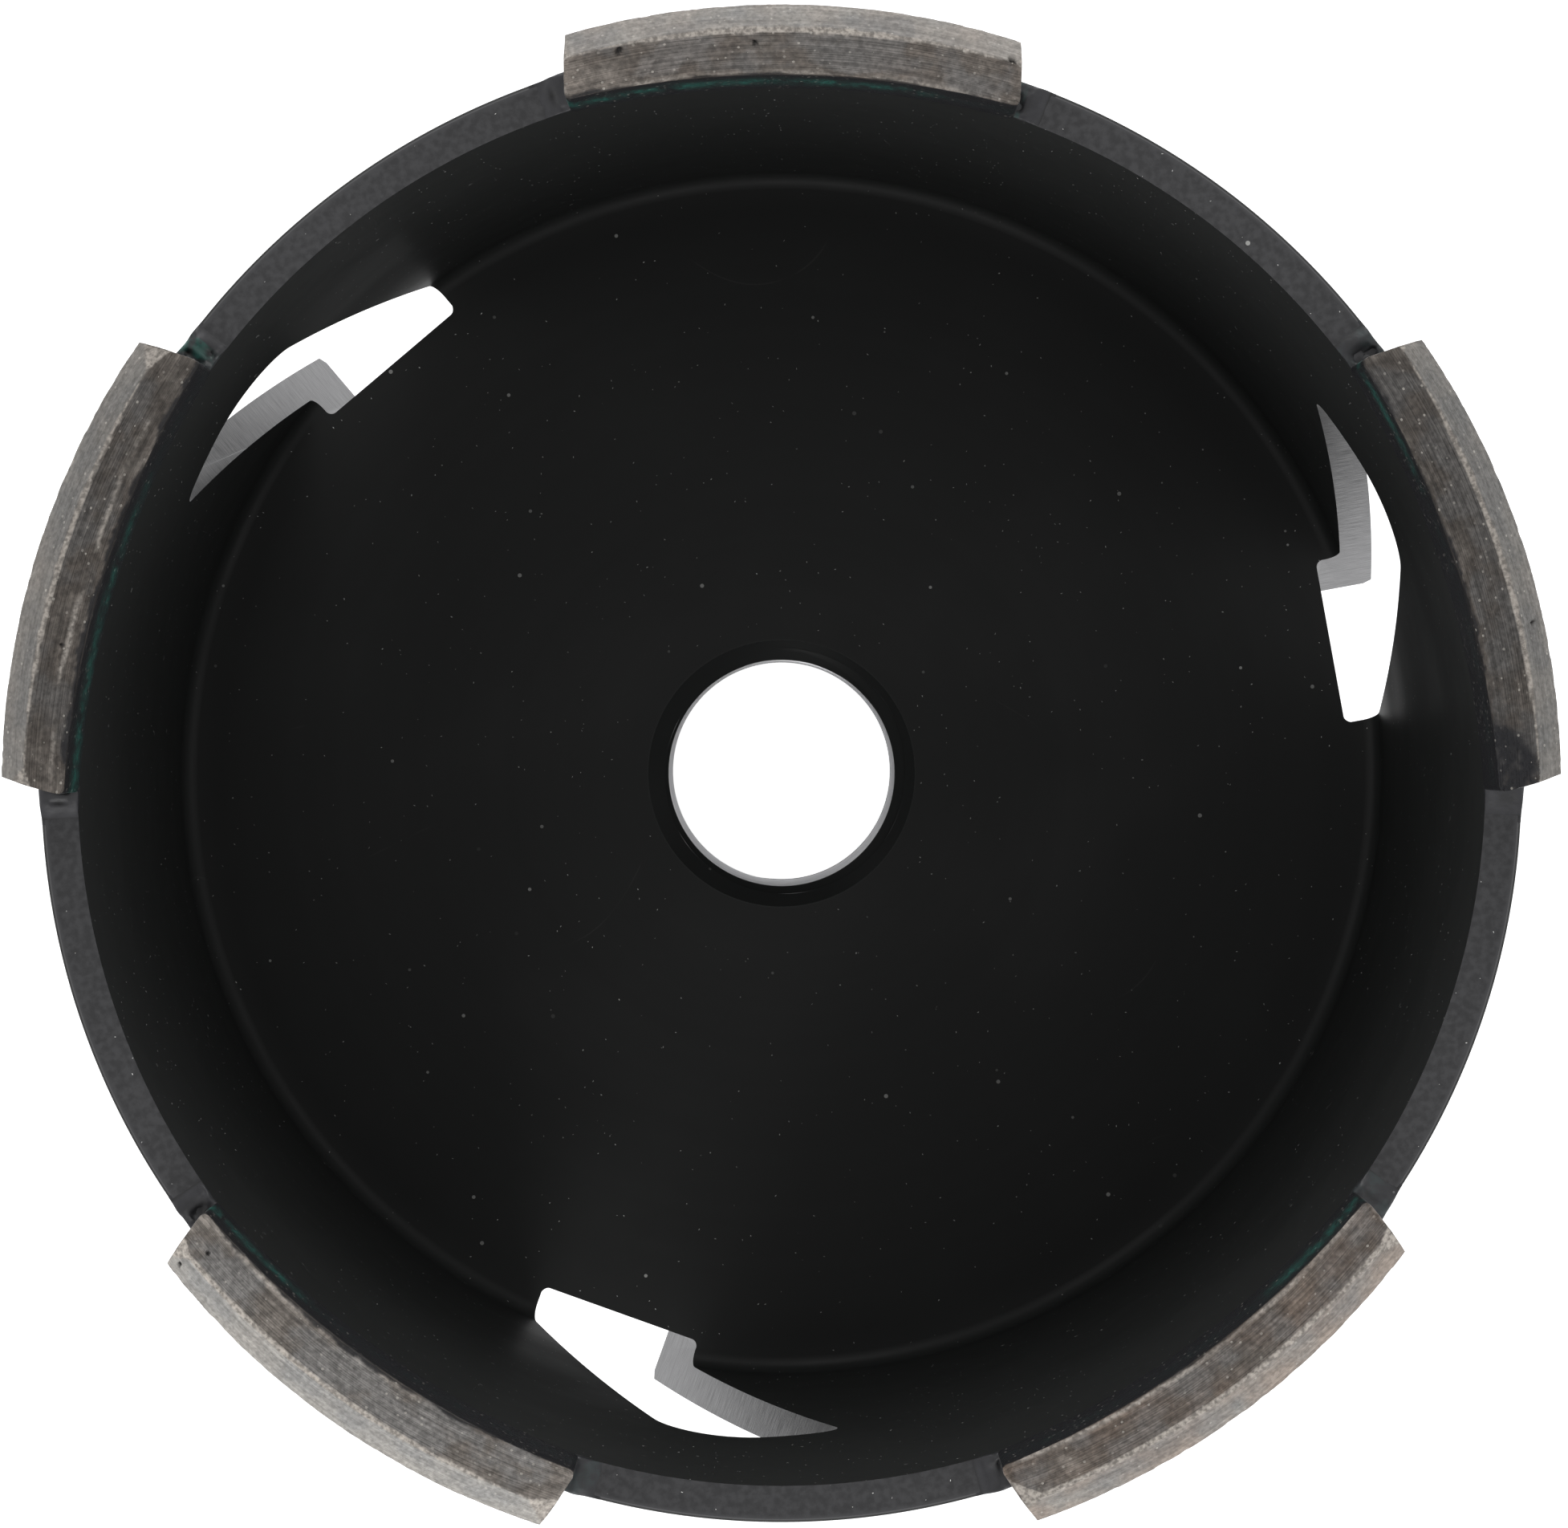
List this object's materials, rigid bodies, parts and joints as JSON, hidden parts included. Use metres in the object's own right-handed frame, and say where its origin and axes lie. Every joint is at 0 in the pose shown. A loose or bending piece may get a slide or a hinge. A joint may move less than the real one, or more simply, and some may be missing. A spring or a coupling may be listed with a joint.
{
  "type": "diamond core bit",
  "caption": "Dry diamond core bit: a black steel cup with a threaded hub, leaning windows in its wall and roof-shaped diamond segments on its rim.",
  "frame": {"origin": "middle of the hub's flat back face, on the cup's axis", "axes": "+Z along the cup's axis to the mouth and the segments, +X through the middle of the first window's notch"},
  "size_m": [0.0813, 0.0815, 0.0784],
  "materials": {
    "black_finish": "satin black, thin enough to show the turned steel, dusty",
    "weld_metal": "laser weld run-outs under black finish, lumpy and pitted",
    "diamond_matrix": "sintered metal matrix with diamond grit, rough along its ridge",
    "cut_steel": "bare milled steel at the window faces and the thread"
  },
  "bodies": {
    "root": {"cup_body": "black_finish", "weld_seam_1": "weld_metal", "weld_seam_2": "weld_metal", "weld_seam_3": "weld_metal", "weld_seam_4": "weld_metal", "weld_seam_5": "weld_metal", "segment_1": "diamond_matrix", "segment_2": "diamond_matrix", "segment_3": "diamond_matrix", "segment_4": "diamond_matrix", "segment_5": "diamond_matrix"}
  },
  "joints": []
}
